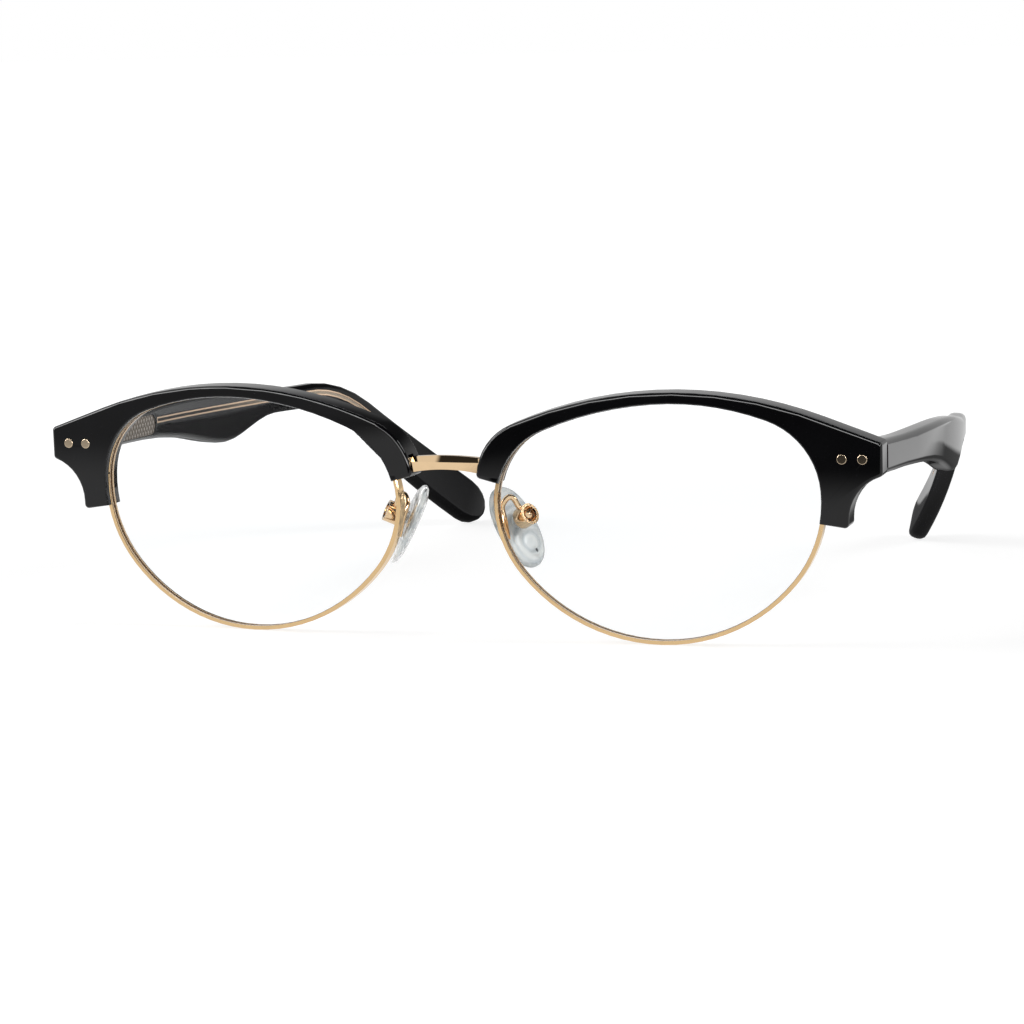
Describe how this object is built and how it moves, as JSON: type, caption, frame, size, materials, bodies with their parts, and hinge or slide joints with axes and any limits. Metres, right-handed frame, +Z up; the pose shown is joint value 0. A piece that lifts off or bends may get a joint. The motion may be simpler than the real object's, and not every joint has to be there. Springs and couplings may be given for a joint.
{
  "type": "browline glasses",
  "caption": "Browline glasses with gloss acetate brows over thin metal rims, clear oval lenses, adjustable nose pads and folding temples with a wire core",
  "frame": {"origin": "on the table under the middle of the bounding box, with the rims and the temple tips on z = 0", "axes": "+X to the wearer's left along the front, +Y from the front to the temple tips, +Z up"},
  "size_m": [0.1408, 0.1266, 0.0401],
  "materials": {
    "acetate": "polished black acetate",
    "gold": "polished pale gold plating",
    "steel": "turned steel",
    "lens": "clear lens with polished faces",
    "silicone": "translucent moulded silicone",
    "insert": "moulded plate inside the pad"
  },
  "bodies": {
    "front": {"brow_left": "acetate", "brow_right": "acetate", "rim_left": "gold", "rim_right": "gold", "lens_left": "lens", "lens_right": "lens", "closing_block_left": "gold", "closing_block_right": "gold", "rim_screw_left": "steel", "rim_screw_right": "steel", "bridge": "gold", "brow_screw_left": "steel", "brow_screw_right": "steel", "pad_arm_left": "gold", "pad_arm_right": "gold", "pad_cup_left": "gold", "pad_cup_right": "gold", "front_hinge_left": "steel", "front_hinge_right": "steel", "front_rivets_left": "gold", "front_rivets_right": "gold", "hinge_screw_left": "steel", "hinge_screw_right": "steel"},
    "temple_arm_left": {"temple_left": "acetate", "temple_hinge_left": "steel", "core_wire_left": "gold"},
    "temple_arm_right": {"temple_right": "acetate", "temple_hinge_right": "steel", "core_wire_right": "gold"},
    "pad_left": {"nose_pad_left": "silicone", "pad_insert_left": "insert", "pad_stud_left": "gold"},
    "pad_right": {"nose_pad_right": "silicone", "pad_insert_right": "insert", "pad_stud_right": "gold"}
  },
  "joints": [
    {"name": "temple_left_fold", "type": "hinge", "parent": "front", "child": "temple_arm_left", "pos_m": [0.06498, -0.05412, 0.0299], "axis": [0, 0, 1], "range_deg": [0, 78]},
    {"name": "temple_right_fold", "type": "hinge", "parent": "front", "child": "temple_arm_right", "pos_m": [-0.06498, -0.05412, 0.0299], "axis": [0, 0, -1], "range_deg": [0, 70]},
    {"name": "pad_left_rock", "type": "hinge", "parent": "front", "child": "pad_left", "pos_m": [0.01163, -0.05669, 0.0195], "axis": [0.4226, 0.9063, 0], "range_deg": [-7, 7]},
    {"name": "pad_right_rock", "type": "hinge", "parent": "front", "child": "pad_right", "pos_m": [-0.01163, -0.05669, 0.0195], "axis": [-0.4226, 0.9063, 0], "range_deg": [-7, 7]}
  ]
}
